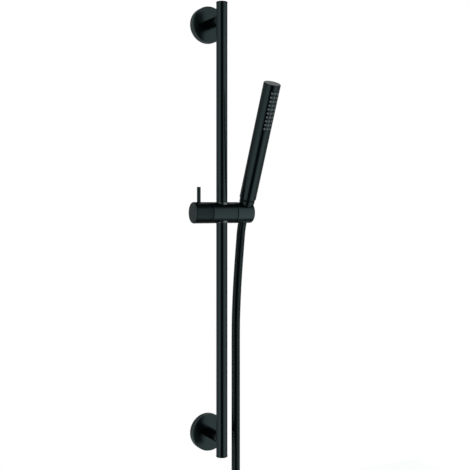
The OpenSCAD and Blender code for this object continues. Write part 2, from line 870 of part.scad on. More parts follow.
// Raises a flat outline drawn in Y and Z into a slab from x, one hose thick
module hose_slab(x) {
    translate([x - hose_r, 0, 0]) rotate([90, 0, 90]) linear_extrude(height = hose_d) children();
}

module hose_hank() {
    color(rubber_black)
    at_hose() {
        hose_slab(0) {
            turn_outline();
            translate([hank_y + fold_r - hose_r, hank_top_z]) square([hose_d, hank_start_z - hank_top_z]);
        }
        hose_slab(hank_pitch)
        intersection() {
            turn_outline();
            union() {
                translate([hank_y + fold_r - hose_r, hank_bottom_z]) square([hose_d, hank_run]);
                translate([hank_y, hank_top_z]) square([fold_r + hose_d, fold_r + hose_d]);
                translate([hank_y - fold_r + hose_r, hank_top_z]) square([fold_r, fold_r + hose_d]);
            }
        }
    }
}

// One strap round two runs that lie side by side, as wide as the runs and a margin
module tie(margin, width) {
    translate([-hose_r - margin, -hose_r - margin, -width / 2])
        cube([hank_pitch + hose_d + 2 * margin, hose_d + 2 * margin, width]);
}

module hose_ties() {
    color(rubber_black)
    at_hose()
    for (z = [upper_tie_z, lower_tie_z])
        translate([0, hank_y + fold_r, z])
        difference() {
            tie(tie_gap + tie_t, tie_w);
            tie(tie_gap, tie_w + 2);
        }
}

// Places its children on the free end of the hose, with their Z along it, downwards
module at_hose_end() {
    at_hose() translate(tail_route[len(tail_route) - 1]) rotate([180, 0, 0]) children();
}

module end_nipple() {
    color(inner_brass)
    at_hose_end()
    difference() {
        union() {
            bevelled(hose_r + 1, end_shaft_len, 0.5, 0.5);
            cylinder(r = end_neck_r, h = end_flange_from + 0.1);
            translate([0, 0, end_flange_from]) cylinder(r = thread_r - 0.3, h = nipple_t);
        }
        translate([0, 0, -1]) cylinder(r = bore_half, h = end_flange_from + nipple_t + 2);
    }
}

module end_nut() {
    color(rail_black)
    at_hose_end() translate([0, 0, end_nut_from])
    difference() {
        bevelled(end_nut_r, end_nut_len, 0.6, 0.6);
        translate([0, 0, -1]) cylinder(r = end_neck_r + 0.2, h = end_nut_len);
        translate([0, 0, end_nut_floor])
            cylinder(r = thread_r + 0.2, h = nipple_t + washer_t + 0.4);
        translate([0, 0, end_nut_floor + 0.5]) cylinder(r = thread_r, h = end_nut_len);
    }
}

module end_washer() {
    color(rubber_black)
    at_hose_end() translate([0, 0, end_flange_from + nipple_t + 0.1])
        ring(thread_r - 0.2, bore_half + 1, washer_t);
}

rail_tube();
upper_end_cap();
lower_end_cap();
upper_rail_insert();
lower_rail_insert();
upper_post();
lower_post();
upper_post_screw();
lower_post_screw();
upper_wall_flange();
lower_wall_flange();
upper_wall_boss();
lower_wall_boss();
upper_grub_screw();
lower_grub_screw();
upper_gasket();
lower_gasket();
upper_guide_bush();
lower_guide_bush();
slider_body();
knob_snap_ring();
knob_washer();
holder_washer();
clamp_knob();
knob_collar();
lever_pin();
brake_plunger();
brake_pad();
holder();
pivot_screw();
wave_washer();
cone_nut();
rim_seal();
hose_nipple();
hose_washer();
handset_tube();
top_cap();
spray_insert();
water_tube();
handset_connector();
connector_seal();
flow_limiter();
hose_upper();
hose_drop();
hose_hank();
hose_tail();
hose_ties();
end_nipple();
end_nut();
end_washer();
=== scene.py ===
"""Looks of the shower slide rail: its finishes, its hose and ties, its nozzles, and the studio."""

import math

import bmesh
import bpy
from mathutils import Matrix, Vector


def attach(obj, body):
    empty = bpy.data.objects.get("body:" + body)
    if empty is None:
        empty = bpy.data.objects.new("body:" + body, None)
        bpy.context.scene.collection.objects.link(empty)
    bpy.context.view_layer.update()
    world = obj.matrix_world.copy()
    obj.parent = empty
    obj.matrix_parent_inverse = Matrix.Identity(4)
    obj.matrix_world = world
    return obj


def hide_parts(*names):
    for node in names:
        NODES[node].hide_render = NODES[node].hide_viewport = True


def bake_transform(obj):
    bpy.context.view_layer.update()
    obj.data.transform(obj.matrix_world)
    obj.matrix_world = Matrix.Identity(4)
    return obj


bl_info = {
    "name": "Shower Slide Rail",
    "version": (1, 0, 0),
    "blender": (4, 5, 0),
    "location": "3D View > Sidebar > Slide Rail",
    "description": "Finishes, hose and studio for the packed shower slide rail",
    "category": "Object",
}

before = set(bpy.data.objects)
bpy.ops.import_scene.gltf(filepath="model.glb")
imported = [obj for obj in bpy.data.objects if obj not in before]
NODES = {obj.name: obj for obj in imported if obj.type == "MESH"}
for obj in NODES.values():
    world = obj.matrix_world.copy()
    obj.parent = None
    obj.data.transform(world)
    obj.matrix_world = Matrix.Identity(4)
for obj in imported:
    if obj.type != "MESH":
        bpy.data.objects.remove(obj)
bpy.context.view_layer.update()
MM = 0.001

# Seat of the handset, in the row frame
SLIDER_AXIS = Vector((0, -0.0575, 0.0267))
SEAT = SLIDER_AXIS + Vector((0.0414, 0, 0))
REST_TILT = math.radians(24.4)

# Hose route in millimetres from the seat's centre, the same points as in the part's source
NUT_BELOW = 13
HOSE_START_BELOW = 4
STRAIGHT_BELOW_NUT = 5
FALL = (
    (0, 12, -30), (0, 17, -60), (0, 21.6, -90), (0, 25.6, -120), (0, 28.6, -150),
    (0, 30.6, -180), (0, 31.2, -210), (0, 31.2, -245), (0, 31.2, -285), (0, 31.2, -325),
    (0, 31.2, -365), (0, 31.2, -405), (0, 31.2, -456),
)
FOLD_RADIUS = 42
HANK_Y = -10.8
HANK_TOP = -492
HANK_BOTTOM = -722
HANK_PITCH = 14
HOSE_END = -775

# How a fold steps sideways into the next turn of the hank: later and faster than it bends
STEP_DELAY = 0.12
STEP_PACE = 1.35

# How finely the hose is cut: its curve in millimetres, its line in metres, folds and facets
CURVE_STEP = 6
ROUTE_STEP = 4 * MM
SHORTEST_STEP = 0.3 * MM
FOLD_STEPS = 24
HOSE_SIDES = 28

# Size of the map that carries the hose's winding: once round the hose, and along a metre of it
MAP_ROUND = 2
MAP_ALONG = 300

# Ties round the two runs of the hank, in millimetres: heights from the seat, the run's radius,
# and the gap and the rounded edge of a tie
TIES = {"upper_tie": -545, "lower_tie": -690}
RUN_RADIUS = 7
TIE_GAP = 0.2
TIE_EDGE = 0.3

# Nozzles on the handset, in millimetres and degrees, as in the part's source
HANDSET_TOP = 218.6
HANDSET_RADIUS = 13.5
FIRST_ROW = 12.9
ROWS = 10
COLUMNS = 3
ROW_PITCH = 6.35
COLUMN_PITCH = 21
SPRAY_TURN = 4
STRIP_DEPTH = 0.3
STRIP_MARGIN = 4.6
STRIP_ANGLE = 68

# Face plate in the sunk strip, in millimetres and degrees
PLATE_RISE = 0.12
PLATE_SINK = 0.1
PLATE_GAP = 0.25
PLATE_GAP_ANGLE = 1
PLATE_RIM = 0.12

# Cool tint of the light: painted into the reflections of the black coat and the hose, and given to
# the studio's walls
SHEEN_TINT = (0.76, 0.98, 1, 1)
WALL_TINT = (0.86, 1, 1)

# Values between which most of a noise lies
NOISE_LOW = 0.3
NOISE_HIGH = 0.7

# Noise in the finishes, in features a metre, and the depth of their bumps in metres
COAT_CLOUDS = 60
COAT_GLOSS = 240
PEEL = 900
PEEL_DEPTH = 0.0000022
FINE_PEEL = 3600
FINE_PEEL_DEPTH = 0.0000007
HOSE_CLOUDS = 80
HOSE_GLOSS = 300
HOSE_GRAIN = 2400
HOSE_GRAIN_DEPTH = 0.0000009
WINDING_DEPTH = 0.000003
METAL_CLOUDS = 150
TOOL_MARKS = 1800
TOOL_MARK_DEPTH = 0.000006
MOULDING_CLOUDS = 120
MOULDING_GRAIN = 2600

# Black coats: name, how much duller than the rail, specular level, and the pieces that wear it
# The specular levels are painted light and shade on copies of one coat: higher on the holder as
# painted light, lower on the flanges, body, grip, nut and handset as painted shade
COATS = (
    ("satin_black_coat", 0, 0.5, (
        "rail_tube", "upper_end_cap", "lower_end_cap", "upper_post", "lower_post",
        "lever_pin", "end_nut",
    )),
    ("flange_coat_painted_shade", 0.04, 0.46, ("upper_wall_flange", "lower_wall_flange")),
    ("body_coat_painted_shade", 0, 0.45, ("slider_body",)),
    ("grip_coat_painted_shade", 0.08, 0.3, ("clamp_knob", "knob_collar")),
    ("holder_coat_painted_light", 0, 0.55, ("holder",)),
    ("nut_coat_painted_shade", 0.05, 0.36, ("cone_nut",)),
    ("handset_coat_painted_shade", 0, 0.41, ("handset_tube", "top_cap")),
)
# The coat of the spray's face plate in the same way, duller and with a lower specular level than
# the handset's as painted shade between the nozzles, and the hose's specular level
FACE_COAT = ("face_coat_painted_shade", 0.1, 0.36)
HOSE_SPECULAR = 0.29

# Bare metals: name, colour, roughness, and the pieces made of them
METALS = (
    ("turned_brass", (0.72, 0.55, 0.3), 0.32, (
        "upper_rail_insert", "lower_rail_insert", "upper_wall_boss", "lower_wall_boss",
        "hose_nipple", "handset_connector", "end_nipple",
    )),
    ("plain_steel", (0.6, 0.6, 0.6), 0.34, (
        "upper_post_screw", "lower_post_screw", "upper_grub_screw", "lower_grub_screw",
        "knob_snap_ring", "brake_plunger", "pivot_screw", "wave_washer",
    )),
)

# Mouldings: name, colour, roughness, depth of the grain, specular level, and the pieces
MOULDINGS = (
    ("polished_moulding", (0.02, 0.021, 0.022), 0.14, 0.000001, 1, (
        "upper_guide_bush", "lower_guide_bush",
    )),
    ("dark_moulding", (0.1, 0.1, 0.105), 0.5, 0.000004, 0.5, ("brake_pad", "water_tube")),
    # Black rubber seals, washers and ties, with a specular level far below real rubber's that
    # paints the shade in the seams where the seals and washers sit
    ("rubber_and_seam_shade", (0.003, 0.003, 0.003), 0.6, 0.000006, 0.12, (
        "upper_gasket", "lower_gasket", "knob_washer", "holder_washer", "rim_seal",
        "hose_washer", "connector_seal", "end_washer",
    )),
)
# Index of refraction of the polished moulding, the silicone pieces and the depth of their grain
POLISHED_IOR = 1.65
SILICONE_PIECES = ("spray_insert", "flow_limiter")
SILICONE_GRAIN_DEPTH = 0.000003

# Strength of the studio's soft walls round the rail, by degrees to the right of its front
WALLS = (
    (-180, 0.35), (-155, 0.48), (-134, 0.34), (-104, 0.65), (-85, 1.1), (-58, 1.1), (-50, 0.55),
    (-43, 0.02), (-6, 0.02), (2, 0.38), (12, 0.8), (25, 1.2), (56, 1.15), (72, 0.6), (86, 0.32),
    (130, 0.24), (180, 0.28),
)
# Share of that strength by the sine of the height above the horizon
HEIGHTS = (
    (-1, 0.17), (-0.94, 0.22), (-0.885, 0.42), (-0.82, 0.68), (-0.72, 1), (0, 0.9),
    (0.55, 0.75), (0.66, 0.45), (0.76, 0.15), (1, 0.08),
)
# The overhead light behind the rail: where it is seen from the rail, its spread and strength
OVERHEAD = (0.461, 0.593, 0.66)
OVERHEAD_EDGE = 28
OVERHEAD_FULL = 14
OVERHEAD_LEVEL = 0.35

# The floor: its width and height in metres, its paint, and the glow that the camera sees on it
FLOOR_WIDTH = 5
FLOOR_HEIGHT = -1.4
FLOOR_COLOUR = (0.9, 0.9, 0.9, 1)
FLOOR_ROUGHNESS = 0.9
FLOOR_GLOW = 1.7
FLOOR_GLOW_SHARE = 0.5

# Width of the camera's sensor in millimetres
SENSOR_WIDTH = 36

# Colour sockets of the Mix node, whose names are shared with its other sockets
MIX_FIRST = 6
MIX_SECOND = 7
MIX_RESULT = 2


class FinishSettings(bpy.types.PropertyGroup):
    """Colours and gloss of the rail's finishes"""

    coat: bpy.props.FloatVectorProperty(
        name="Coat",
        description="Colour of the satin black coat",
        subtype="COLOR",
        size=3,
        default=(0.0014, 0.0022, 0.0024),
        min=0,
        max=1,
    )
    coat_roughness: bpy.props.FloatProperty(
        name="Coat Roughness",
        description="Roughness of the satin black coat",
        default=0.18,
        min=0,
        max=1,
    )
    hose: bpy.props.FloatVectorProperty(
        name="Hose",
        description="Colour of the hose",
        subtype="COLOR",
        size=3,
        default=(0.0016, 0.0024, 0.0026),
        min=0,
        max=1,
    )
    hose_roughness: bpy.props.FloatProperty(
        name="Hose Roughness",
        description="Roughness of the hose",
        default=0.26,
        min=0,
        max=1,
    )
    silicone: bpy.props.FloatVectorProperty(
        name="Silicone",
        description="Colour of the silicone nozzles",
        subtype="COLOR",
        size=3,
        default=(0.24, 0.29, 0.295),
        min=0,
        max=1,
    )
    silicone_roughness: bpy.props.FloatProperty(
        name="Silicone Roughness",
        description="Roughness of the silicone nozzles",
        default=0.48,
        min=0,
        max=1,
    )


class NozzleSettings(bpy.types.PropertyGroup):
    """Sizes of the silicone nozzles"""

    root: bpy.props.FloatProperty(
        name="Root",
        description="Radius of a nozzle inside its hole",
        default=0.00128,
        min=0.0008,
        max=0.0013,
        unit="LENGTH",
    )
    flare: bpy.props.FloatProperty(
        name="Flare",
        description="Greatest radius of a nozzle outside its hole",
        default=0.0016,
        min=0.001,
        max=0.0018,
        unit="LENGTH",
    )
    height: bpy.props.FloatProperty(
        name="Height",
        description="Height of a nozzle above the handset's surface",
        default=0.0007,
        min=0.0002,
        max=0.0012,
        unit="LENGTH",
    )


class HoseSettings(bpy.types.PropertyGroup):
    """Sizes of the hose and of the straps that tie it"""

    diameter: bpy.props.FloatProperty(
        name="Diameter",
        description="Outside diameter of the hose",
        default=0.014,
        min=0.012,
        max=0.014,
        unit="LENGTH",
    )
    length: bpy.props.FloatProperty(
        name="Length",
        description="Length of the hose",
        default=1.5,
        min=1.4,
        max=1.6,
        unit="LENGTH",
    )
    strap_width: bpy.props.FloatProperty(
        name="Strap Width",
        description="Width of a tie",
        default=0.008,
        min=0.004,
        max=0.012,
        unit="LENGTH",
    )
    strap_thickness: bpy.props.FloatProperty(
        name="Strap Thickness",
        description="Thickness of a tie",
        default=0.001,
        min=0.0005,
        max=0.0012,
        unit="LENGTH",
    )


class StudioSettings(bpy.types.PropertyGroup):
    """Camera and light of the studio"""

    lens: bpy.props.FloatProperty(
        name="Lens",
        description="Focal length of the camera",
        default=64.75,
        min=20,
        max=200,
        unit="CAMERA",
    )
    shift: bpy.props.FloatProperty(
        name="Shift",
        description="Upward shift of the camera's frame",
        default=-0.0657,
        min=-0.5,
        max=0.5,
    )
    turn: bpy.props.FloatProperty(
        name="Turn",
        description="How far the camera stands round to the left of the rail",
        default=math.radians(27.46),
        subtype="ANGLE",
    )
    place: bpy.props.FloatVectorProperty(
        name="Place",
        description="Where the camera stands",
        default=(-0.6071, -1.2716, 0.04035),
        subtype="TRANSLATION",
        unit="LENGTH",
    )
    gloss_light: bpy.props.FloatProperty(
        name="Gloss Light",
        description="Strength of the studio in reflections",
        default=1.0,
        min=0,
        max=4,
    )
    soft_light: bpy.props.FloatProperty(
        name="Soft Light",
        description="Strength of the studio on matt surfaces",
        default=1.2,
        min=0,
        max=4,
    )


def add(tree, kind, **values):
    """Adds a shader node and sets its properties and its named input sockets."""
    shader_node = tree.nodes.new(kind)
    for key, value in values.items():
        if hasattr(shader_node, key):
            setattr(shader_node, key, value)
        else:
            shader_node.inputs[key.replace("_", " ")].default_value = value
    return shader_node


def new_finish(name):
    """A new material with its node tree, its Principled shader and its object coordinates."""
    finish = bpy.data.materials.new(name)
    finish.use_nodes = True
    tree = finish.node_tree
    tree.nodes.clear()
    output = add(tree, "ShaderNodeOutputMaterial")
    shader = add(tree, "ShaderNodeBsdfPrincipled")
    coords = add(tree, "ShaderNodeTexCoord")
    tree.links.new(shader.outputs["BSDF"], output.inputs["Surface"])
    return finish, tree, shader, coords.outputs["Object"]


def grain(tree, place, scale, detail=2.0):
    """Noise at so many features a metre."""
    noise = add(tree, "ShaderNodeTexNoise", Scale=scale, Detail=detail)
    tree.links.new(place, noise.inputs["Vector"])
    return noise.outputs["Fac"]


def remap(tree, value, low, high, from_low=NOISE_LOW, from_high=NOISE_HIGH):
    """Spreads a value between two limits."""
    spread = add(tree, "ShaderNodeMapRange")
    spread.inputs["From Min"].default_value = from_low
    spread.inputs["From Max"].default_value = from_high
    spread.inputs["To Min"].default_value = low
    spread.inputs["To Max"].default_value = high
    tree.links.new(value, spread.inputs["Value"])
    return spread.outputs["Result"]


def scaled(colour, factor):
    """A colour made darker or lighter by a factor."""
    return tuple(min(1.0, part * factor) for part in colour)


def cloud_colour(tree, shader, value, colour, darker=0.85, lighter=1.2):
    """Gives the shader a colour that drifts with a noise between two factors of it."""
    ramp = add(tree, "ShaderNodeValToRGB")
    ramp.color_ramp.elements[0].position = NOISE_LOW
    ramp.color_ramp.elements[0].color = (*scaled(colour, darker), 1)
    ramp.color_ramp.elements[1].position = NOISE_HIGH
    ramp.color_ramp.elements[1].color = (*scaled(colour, lighter), 1)
    tree.links.new(value, ramp.inputs["Fac"])
    tree.links.new(ramp.outputs["Color"], shader.inputs["Base Color"])


def cloud_gloss(tree, shader, value, rough, less=0.03, more=0.04):
    """Gives the shader a roughness that drifts with a noise by so much less and more."""
    tree.links.new(remap(tree, value, rough - less, rough + more), shader.inputs["Roughness"])


def raise_grain(tree, shader, value, depth, strength=1.0, under=None):
    """Bump of a given depth in metres, on top of an earlier bump if there is one."""
    bump = add(tree, "ShaderNodeBump", Strength=strength, Distance=depth)
    tree.links.new(value, bump.inputs["Height"])
    if under is not None:
        tree.links.new(under, bump.inputs["Normal"])
    tree.links.new(bump.outputs["Normal"], shader.inputs["Normal"])
    return bump.outputs["Normal"]


def tinted_sheen(shader, specular):
    """Sets how strong the shader's sheen is, and paints the light's cool tint into its
    reflections.
    """
    shader.inputs["Specular IOR Level"].default_value = specular
    shader.inputs["Specular Tint"].default_value = SHEEN_TINT


def satin_coat(settings, name, dulling, specular):
    """Satin black coat: fine orange peel, slightly uneven gloss, duller where it is asked."""
    finish, tree, shader, place = new_finish(name)
    cloud_colour(tree, shader, grain(tree, place, COAT_CLOUDS, 3), settings.coat)
    gloss = grain(tree, place, COAT_GLOSS, 4)
    cloud_gloss(tree, shader, gloss, settings.coat_roughness + dulling)
    peel = raise_grain(tree, shader, grain(tree, place, PEEL), PEEL_DEPTH)
    raise_grain(tree, shader, grain(tree, place, FINE_PEEL), FINE_PEEL_DEPTH, under=peel)
    tinted_sheen(shader, specular)
    return finish


def hose_skin(settings):
    """Smooth black hose with a faint winding under its skin."""
    finish, tree, shader, place = new_finish("smooth_black_hose")
    cloud_colour(tree, shader, grain(tree, place, HOSE_CLOUDS, 3), settings.hose)
    cloud_gloss(tree, shader, grain(tree, place, HOSE_GLOSS, 3), settings.hose_roughness)
    winding = add(tree, "ShaderNodeTexWave", bands_direction="DIAGONAL", Scale=1.0)
    hose_map = add(tree, "ShaderNodeUVMap", uv_map="HoseMap")
    tree.links.new(hose_map.outputs["UV"], winding.inputs["Vector"])
    wound = raise_grain(tree, shader, winding.outputs["Fac"], WINDING_DEPTH, strength=0.5)
    raise_grain(tree, shader, grain(tree, place, HOSE_GRAIN), HOSE_GRAIN_DEPTH, under=wound)
    tinted_sheen(shader, HOSE_SPECULAR)
    return finish


def turned_metal(name, colour, rough):
    """Bare turned metal with fine tool marks."""
    finish, tree, shader, place = new_finish(name)
    cloud_colour(tree, shader, grain(tree, place, METAL_CLOUDS, 3), colour, lighter=1.05)
    marks = grain(tree, place, TOOL_MARKS, 3)
    cloud_gloss(tree, shader, marks, rough, less=0.06, more=0.08)
    raise_grain(tree, shader, marks, TOOL_MARK_DEPTH)
    shader.inputs["Metallic"].default_value = 1.0
    return finish


def soft_moulding(name, colour, rough, depth, specular=0.5):
    """Moulded plastic or rubber with a fine grain."""
    finish, tree, shader, place = new_finish(name)
    shader.inputs["Specular IOR Level"].default_value = specular
    cloud_colour(tree, shader, grain(tree, place, MOULDING_CLOUDS, 3), colour, lighter=1.15)
    fine = grain(tree, place, MOULDING_GRAIN)
    cloud_gloss(tree, shader, fine, rough, less=0.05, more=0.05)
    raise_grain(tree, shader, fine, depth)
    return finish


def wear(piece, finish):
    """Gives every material slot of a piece one finish."""
    if not piece.data.materials:
        piece.data.materials.append(finish)
    for index in range(len(piece.data.materials)):
        piece.data.materials[index] = finish


def dress(names, finish):
    """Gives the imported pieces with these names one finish."""
    for name in names:
        wear(NODES[name], finish)


def seen_from_seat(point):
    """A point in millimetres from the seat's centre, in the row frame in metres."""
    return SEAT + Vector(point) * MM


def along_seat(distance):
    """A point on the seat's tilted axis, so many millimetres above its centre."""
    return (0, -distance * math.sin(REST_TILT), distance * math.cos(REST_TILT))


def smooth_through(points, step):
    """Points about a step apart on a smooth curve through the given ones."""
    ends = [2 * points[0] - points[1]] + list(points) + [2 * points[-1] - points[-2]]
    curve = []
    for before, here, there, after in zip(ends, ends[1:], ends[2:], ends[3:]):
        count = max(2, round((there - here).length / step))
        for k in range(count):
            t = k / count
            curve.append(
                0.5 * (
                    2 * here
                    + (there - before) * t
                    + (2 * before - 5 * here + 4 * there - after) * t ** 2
                    + (3 * here - before - 3 * there + after) * t ** 3
                )
            )
    curve.append(points[-1].copy())
    return curve


def eased(t):
    """A share from 0 to 1 that starts and ends gently."""
    t = min(1.0, max(0.0, t))
    return t * t * (3 - 2 * t)


def fold(z, x_from, x_to, over):
    """Half a turn of the hank: over the top to the rear, or under the bottom to the front."""
    start = math.pi if over else 0
    points = []
    for k in range(FOLD_STEPS + 1):
        t = k / FOLD_STEPS
        angle = start - math.pi * t
        points.append(
            Vector((
                x_from + (x_to - x_from) * eased(STEP_PACE * t - STEP_DELAY),
                HANK_Y + FOLD_RADIUS * math.cos(angle),
                z + FOLD_RADIUS * math.sin(angle),
            ))
        )
    return points


def spaced(points, step):
    """The same line with its long straight runs cut into even steps."""
    line = [points[0]]
    for there in points[1:]:
        here = line[-1]
        gap = (there - here).length
        if gap < SHORTEST_STEP:
            continue
        count = max(1, round(gap / step))
        line += [here.lerp(there, (k + 1) / count) for k in range(count)]
    return line


def hose_route():
    """The hose's whole centreline, in the row frame in metres."""
    start = [
        Vector(along_seat(-HOSE_START_BELOW)),
        Vector(along_seat(-NUT_BELOW)),
        Vector(along_seat(-NUT_BELOW - STRAIGHT_BELOW_NUT)),
    ]
    route = smooth_through(start + [Vector(p) for p in FALL], CURVE_STEP)
    route += fold(HANK_BOTTOM, 0, 0, False)
    route += fold(HANK_TOP, 0, HANK_PITCH, True)
    route.append(Vector((HANK_PITCH, HANK_Y + FOLD_RADIUS, HOSE_END)))
    return spaced([seen_from_seat(p) for p in route], ROUTE_STEP)


def made_of(name, body):
    """An object from a bmesh, in the scene."""
    bmesh.ops.recalc_face_normals(body, faces=body.faces)
    mesh = bpy.data.meshes.new(name)
    body.to_mesh(mesh)
    body.free()
    piece = bpy.data.objects.new(name, mesh)
    bpy.context.scene.collection.objects.link(piece)
    return piece


def swept_tube(name, points, radius, sides):
    """A closed round tube along points, with a map that runs along and around it."""
    body = bmesh.new()
    uv_layer = body.loops.layers.uv.new("HoseMap")
    headings = []
    for i in range(len(points)):
        ahead = points[min(i + 1, len(points) - 1)] - points[max(i - 1, 0)]
        headings.append(ahead.normalized())
    side = headings[0].orthogonal().normalized()
    rings = []
    travelled = [0.0]
    for i, (point, heading) in enumerate(zip(points, headings)):
        if i:
            side = headings[i - 1].rotation_difference(heading) @ side
            travelled.append(travelled[-1] + (point - points[i - 1]).length)
        up = heading.cross(side)
        ring = []
        for k in range(sides):
            angle = 2 * math.pi * k / sides
            outward = math.cos(angle) * side + math.sin(angle) * up
            ring.append(body.verts.new(point + radius * outward))
        rings.append(ring)
    for i in range(len(rings) - 1):
        for k in range(sides):
            n = (k + 1) % sides
            face = body.faces.new((rings[i][k], rings[i][n], rings[i + 1][n], rings[i + 1][k]))
            face.smooth = True
            corners = ((i, k), (i, k + 1), (i + 1, k + 1), (i + 1, k))
            for loop, (row, column) in zip(face.loops, corners):
                loop[uv_layer].uv = (MAP_ROUND * column / sides, travelled[row] * MAP_ALONG)
    body.faces.new(list(reversed(rings[0])))
    body.faces.new(rings[-1])
    return made_of(name, body)


def strap_outline(margin, steps=14):
    """A flat loop round the two runs of the hank, at a margin from them, in millimetres."""
    radius = RUN_RADIUS + margin
    loop = []
    for centre, start in ((HANK_PITCH, -math.pi / 2), (0, math.pi / 2)):
        for k in range(steps + 1):
            angle = start + math.pi * k / steps
            loop.append((centre + radius * math.cos(angle), radius * math.sin(angle)))
    return loop


def strap(name, z, width, thickness):
    """A rubber strap with rounded edges, closed round both runs."""
    body = bmesh.new()
    side = width / 2
    outside = TIE_GAP + thickness
    section = (
        (TIE_GAP, -side), (outside - TIE_EDGE, -side), (outside, -side + TIE_EDGE),
        (outside, side - TIE_EDGE), (outside - TIE_EDGE, side), (TIE_GAP, side),
    )
    loops = []
    for margin, height in section:
        loops.append([
            body.verts.new(seen_from_seat((x, y + HANK_Y + FOLD_RADIUS, height + z)))
            for x, y in strap_outline(margin)
        ])
    for i in range(len(loops)):
        inner, outer = loops[i], loops[(i + 1) % len(loops)]
        for k in range(len(inner)):
            n = (k + 1) % len(inner)
            body.faces.new((inner[k], inner[n], outer[n], outer[k])).smooth = True
    return made_of(name, body)


def on_handset(across, outward, up, angle):
    """A point of the handset, in millimetres: up from the seat, then outward at an angle."""
    turn = math.radians(angle)
    point = Vector((
        outward * math.sin(turn) + across * math.cos(turn),
        across * math.sin(turn) - outward * math.cos(turn),
        up,
    ))
    return SEAT + Matrix.Rotation(REST_TILT, 3, "X") @ point * MM


def nozzle_places():
    """Height and angle of each nozzle."""
    for row in range(ROWS):
        for column in range(COLUMNS):
            yield (
                HANDSET_TOP - FIRST_ROW - row * ROW_PITCH,
                SPRAY_TURN + (column - (COLUMNS - 1) / 2) * COLUMN_PITCH,
            )


def nozzle_profile(settings):
    """Distance out and radius, in millimetres, from a nozzle's root over its dome into its jet."""
    root, flare, height = settings.root / MM, settings.flare / MM, settings.height / MM
    skin = HANDSET_RADIUS - STRIP_DEPTH
    top = HANDSET_RADIUS + height
    return (
        (skin - 1.3, 0.2), (skin - 1.3, root), (skin + 0.04, root), (skin + 0.1, flare - 0.06),
        (skin + 0.22, flare), (top - 0.42, flare - 0.06), (top - 0.2, flare * 0.84),
        (top - 0.05, flare * 0.62), (top, flare * 0.42), (top - 0.03, flare * 0.3),
        (top - 0.2, 0.34), (top - 1.1, 0.3), (top - 1.1, 0.05),
    )


def turned_about(body, profile, up, angle, sides=18):
    """Adds a piece turned about a line that runs straight out of the handset."""
    rings = []
    for outward, radius in profile:
        ring = []
        for k in range(sides):
            round_turn = 2 * math.pi * k / sides
            ring.append(body.verts.new(on_handset(
                radius * math.cos(round_turn), outward, up + radius * math.sin(round_turn), angle,
            )))
        rings.append(ring)
    for lower, upper in zip(rings, rings[1:]):
        for k in range(sides):
            n = (k + 1) % sides
            body.faces.new((lower[k], lower[n], upper[n], upper[k])).smooth = True
    body.faces.new(list(reversed(rings[0])))
    body.faces.new(rings[-1])


def curved_plate(body, outer, inner, half_angle, top, bottom, steps=28):
    """Adds a closed curved plate that lies round the handset, with a softened rim."""
    loops = []
    for outward, inset in ((inner, 0), (outer - PLATE_RIM, 0), (outer, PLATE_RIM)):
        turn = half_angle - math.degrees(inset / HANDSET_RADIUS)
        low, high = bottom + inset, top - inset
        loop = [
            body.verts.new(on_handset(0, outward, high, SPRAY_TURN - turn + 2 * turn * k / steps))
            for k in range(steps + 1)
        ]
        loop += [
            body.verts.new(on_handset(0, outward, low, SPRAY_TURN + turn - 2 * turn * k / steps))
            for k in range(steps + 1)
        ]
        loops.append(loop)
    count = len(loops[0])
    for lower, upper in zip(loops, loops[1:]):
        for k in range(count):
            n = (k + 1) % count
            body.faces.new((lower[k], lower[n], upper[n], upper[k]))
    for loop in (loops[0], loops[-1]):
        for k in range(steps):
            body.faces.new((loop[k], loop[k + 1], loop[count - 2 - k], loop[count - 1 - k]))


class SLIDERAIL_OT_coat(bpy.types.Operator):
    """Gives the visible black pieces their satin coats, with painted light and shade in their
    specular levels
    """

    bl_idname = "sliderail.coat"
    bl_label = "Black Coat"

    def execute(self, context):
        settings = context.scene.sliderail_finish
        for name, dulling, specular, pieces in COATS:
            dress(pieces, satin_coat(settings, name, dulling, specular))
        return {"FINISHED"}


class SLIDERAIL_OT_inner_finishes(bpy.types.Operator):
    """Gives the brass, steel, plastic, rubber and silicone pieces their finishes"""

    bl_idname = "sliderail.inner_finishes"
    bl_label = "Inner Finishes"

    def execute(self, context):
        settings = context.scene.sliderail_finish
        for name, colour, rough, pieces in METALS:
            dress(pieces, turned_metal(name, colour, rough))
        for name, colour, rough, depth, specular, pieces in MOULDINGS:
            dress(pieces, soft_moulding(name, colour, rough, depth, specular))
        polished = bpy.data.materials["polished_moulding"].node_tree
        polished.nodes["Principled BSDF"].inputs["IOR"].default_value = POLISHED_IOR
        silicone = soft_moulding(
            "grey_silicone", settings.silicone, settings.silicone_roughness, SILICONE_GRAIN_DEPTH,
        )
        dress(SILICONE_PIECES, silicone)
        return {"FINISHED"}


class SLIDERAIL_OT_nozzles(bpy.types.Operator):
    """Makes the spray's face plate and the domed silicone nozzles that stand through it"""

    bl_idname = "sliderail.nozzles"
    bl_label = "Nozzles"

    def execute(self, context):
        tips = bmesh.new()
        profile = nozzle_profile(context.scene.sliderail_nozzles)
        for up, angle in nozzle_places():
            turned_about(tips, profile, up, angle)
        nozzles = made_of("spray_nozzles", tips)
        wear(nozzles, bpy.data.materials["grey_silicone"])
        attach(nozzles, "holder")
        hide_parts("spray_insert")
        plate = bmesh.new()
        skin = HANDSET_RADIUS - STRIP_DEPTH
        top = HANDSET_TOP - FIRST_ROW + STRIP_MARGIN
        bottom = top - (ROWS - 1) * ROW_PITCH - 2 * STRIP_MARGIN
        curved_plate(
            plate, skin + PLATE_RISE, skin - PLATE_SINK, STRIP_ANGLE / 2 - PLATE_GAP_ANGLE,
            top - PLATE_GAP, bottom + PLATE_GAP,
        )
        face = made_of("spray_face", plate)
        # The plate is a real part of the spray face; its lower specular level paints the shade
        # between the nozzles
        wear(face, satin_coat(context.scene.sliderail_finish, *FACE_COAT))
        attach(face, "holder")
        return {"FINISHED"}


